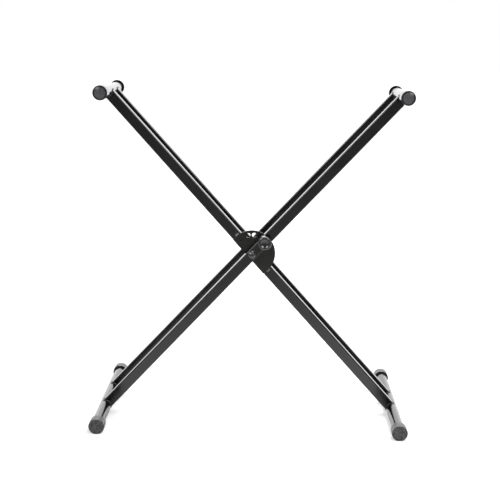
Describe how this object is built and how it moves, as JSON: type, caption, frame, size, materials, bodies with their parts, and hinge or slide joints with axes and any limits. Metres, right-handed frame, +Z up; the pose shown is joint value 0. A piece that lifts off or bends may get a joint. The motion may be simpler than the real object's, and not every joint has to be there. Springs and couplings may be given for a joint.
{
  "type": "folding keyboard stand",
  "caption": "Double-braced X stand of square-edged tube that folds about a bolted pivot and locks with a spring pin in a holed plate; round crossbars carry the keyboard.",
  "frame": {"origin": "on the floor, under the middle of the stand as set up at its widest setting", "axes": "+Z up, +X to the right seen from the front, +Y away from the front (the knob side)"},
  "size_m": [0.7424, 0.467, 0.8023],
  "materials": {
    "frame_paint": "gloss black powder coat",
    "bar_cap": "smooth moulded black plastic",
    "foot_rubber": "matt black rubber",
    "knob": "gloss black plastic",
    "black_bolt": "black oxide",
    "zinc_steel": "bright zinc plate",
    "nylon": "black nylon"
  },
  "bodies": {
    "leg_a": {"leg_a_front_tube": "frame_paint", "leg_a_rear_tube": "frame_paint", "leg_a_top_bar": "frame_paint", "leg_a_foot_bar": "frame_paint", "leg_a_top_cap_front": "bar_cap", "leg_a_top_cap_rear": "bar_cap", "leg_a_foot_cap_front": "foot_rubber", "leg_a_foot_cap_rear": "foot_rubber", "leg_a_front_sleeve": "frame_paint", "leg_a_rear_sleeve": "frame_paint", "front_pivot_bolt": "black_bolt", "front_pivot_nut": "zinc_steel", "front_nut_washer": "zinc_steel", "rear_pivot_bolt": "black_bolt", "rear_pivot_nut": "zinc_steel", "rear_nut_washer": "zinc_steel", "front_gap_washer": "nylon", "rear_gap_washer": "nylon", "pin_guide": "frame_paint", "lock_spring": "zinc_steel"},
    "leg_b": {"leg_b_front_tube": "frame_paint", "leg_b_rear_tube": "frame_paint", "leg_b_top_bar": "frame_paint", "leg_b_foot_bar": "frame_paint", "leg_b_top_cap_front": "bar_cap", "leg_b_top_cap_rear": "bar_cap", "leg_b_foot_cap_front": "foot_rubber", "leg_b_foot_cap_rear": "foot_rubber", "leg_b_front_sleeve": "frame_paint", "leg_b_rear_sleeve": "frame_paint", "locking_plate": "frame_paint"},
    "pull_pin": {"lock_pin": "zinc_steel", "pull_knob": "knob"}
  },
  "joints": [
    {"name": "leg_fold", "type": "hinge", "parent": "leg_a", "child": "leg_b", "pos_m": [0, 0, 0.40236], "axis": [0, 1, 0], "range_deg": [0, 80]},
    {"name": "lock_pin_slide", "type": "slide", "parent": "leg_a", "child": "pull_pin", "axis": [0, 1, 0], "range_m": [0, 0.008], "stiffness_N_per_m": 300, "springref_m": 0.014, "deforming": ["lock_spring"]}
  ]
}
